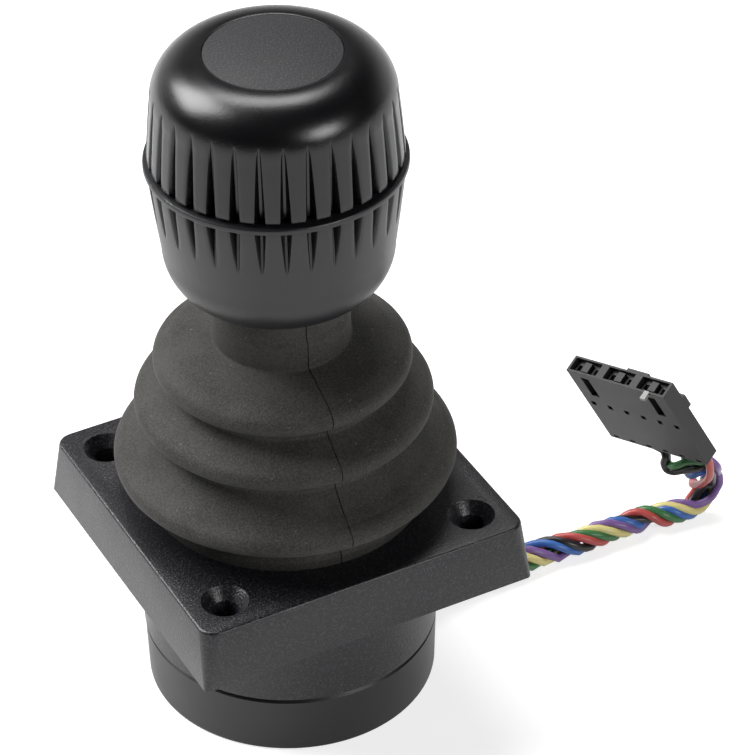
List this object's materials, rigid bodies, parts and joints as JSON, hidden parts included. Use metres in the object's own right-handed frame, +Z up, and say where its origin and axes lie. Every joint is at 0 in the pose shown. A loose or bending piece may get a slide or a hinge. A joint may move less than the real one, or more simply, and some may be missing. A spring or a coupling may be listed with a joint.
{
  "type": "fingertip joystick",
  "caption": "Panel-mounted fingertip joystick with a fluted twisting knob, bellows boot, square flange, round housing and a wire harness with a flat connector.",
  "frame": {"origin": "centre of the lower cup's underside, on the surface the joystick stands on", "axes": "+Z up along the stick at rest, X and Y along the sides of the square flange, +X towards the side where the harness leaves"},
  "size_m": [0.0787, 0.0402, 0.0818],
  "materials": {
    "housing_plastic": "satin black, fine mould texture",
    "cup_plastic": "satin black",
    "rubber": "matte moulded rubber",
    "seal_rubber": "matte",
    "steel": "plated",
    "spring_steel": "drawn wire",
    "plate_steel": "rolled sheet",
    "bearing_plastic": "natural acetal",
    "board": "lacquered laminate",
    "chip": "moulded package",
    "terminal_plastic": "natural",
    "die_cast": "as cast",
    "magnet": "nickel plated",
    "core_plastic": "satin black",
    "knob_plastic": "semi-gloss black",
    "disc_plastic": "matte, finely textured",
    "insulation": "six coloured wires",
    "connector_plastic": "satin dark grey",
    "contact_metal": "tin plated",
    "key_plastic": "light grey"
  },
  "bodies": {
    "base": {"flange_housing": "housing_plastic", "bottom_cup": "cup_plastic", "housing_seal": "seal_rubber", "cup_screws": "steel", "travel_limiter_plate": "plate_steel", "trunnion_bushes": "bearing_plastic", "sensor_board": "board", "sensor_chips": "chip", "board_screws": "steel", "board_terminal": "terminal_plastic", "boot": "rubber", "boot_clamp_ring": "die_cast", "clamp_ring_screws": "steel", "spring_seat": "plate_steel", "centring_spring": "spring_steel", "cable_grommet": "seal_rubber", "wire_harness": "insulation", "connector_housing": "connector_plastic", "connector_contacts": "contact_metal", "connector_key": "key_plastic"},
    "gimbal": {"gimbal_ring": "die_cast"},
    "stick": {"pivot_hub": "bearing_plastic", "inner_pivot_pin": "steel", "stick_shaft": "steel", "magnet_holder": "bearing_plastic", "tilt_magnet": "magnet", "spring_collar": "bearing_plastic", "collar_clip": "spring_steel", "handle_core": "core_plastic", "core_pin": "steel", "thrust_washer": "bearing_plastic", "knob_retaining_ring": "spring_steel", "twist_sensor_board": "board", "twist_sensor_chip": "chip"},
    "knob": {"lower_knob_shell": "knob_plastic", "upper_knob_shell": "knob_plastic", "crown_disc": "disc_plastic", "shell_screws": "steel", "crown_screw": "steel", "twist_magnet_carrier": "bearing_plastic", "twist_magnet": "magnet", "twist_return_spring": "spring_steel"}
  },
  "joints": [
    {"name": "tilt_x", "type": "hinge", "parent": "base", "child": "gimbal", "pos_m": [0, 0, 0.018], "axis": [1, 0, 0], "range_deg": [-20, 20], "stiffness_Nm_per_rad": 0.25, "deforming": ["boot", "centring_spring"]},
    {"name": "tilt_y", "type": "hinge", "parent": "gimbal", "child": "stick", "pos_m": [0, 0, 0.018], "axis": [0, 1, 0], "range_deg": [-20, 20], "stiffness_Nm_per_rad": 0.25},
    {"name": "knob_twist", "type": "hinge", "parent": "stick", "child": "knob", "pos_m": [0, 0, 0.06], "axis": [0, 0, 1], "range_deg": [-30, 30], "stiffness_Nm_per_rad": 0.05, "deforming": ["twist_return_spring"]}
  ]
}
